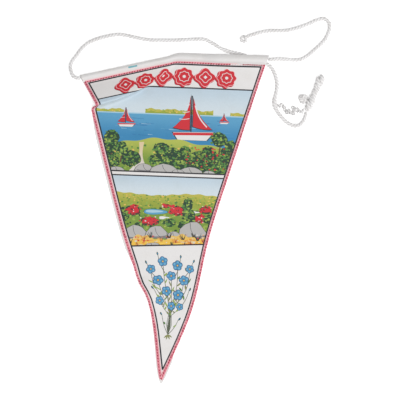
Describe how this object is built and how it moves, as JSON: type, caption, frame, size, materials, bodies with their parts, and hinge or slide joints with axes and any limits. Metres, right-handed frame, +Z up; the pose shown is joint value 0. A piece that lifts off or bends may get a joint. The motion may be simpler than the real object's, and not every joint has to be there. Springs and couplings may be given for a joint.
{
  "type": "souvenir pennant flag",
  "caption": "Small triangular satin pennant lying face up, with a hem at the top and a twisted cord threaded through it.",
  "frame": {"origin": "on the ground, under the middle of the cloth's bounding box", "axes": "+Z up from the ground, towards the printed face; +Y along the pennant towards its hem; +X to the right, seen from above"},
  "size_m": [0.2095, 0.2921, 0.0136],
  "materials": {
    "printed_satin": "thin white satin, printed on its face",
    "stitching": "red and pink overlock thread",
    "white_cord": "twisted white cotton cord"
  },
  "bodies": {
    "root": {"pennant_cloth": "printed_satin", "hem_cord": "white_cord", "loop_cord": "white_cord", "loop_bundle": "white_cord", "loop_knot": "white_cord", "loose_yarn": "white_cord", "end_cord": "white_cord", "end_knot": "white_cord"}
  },
  "joints": []
}
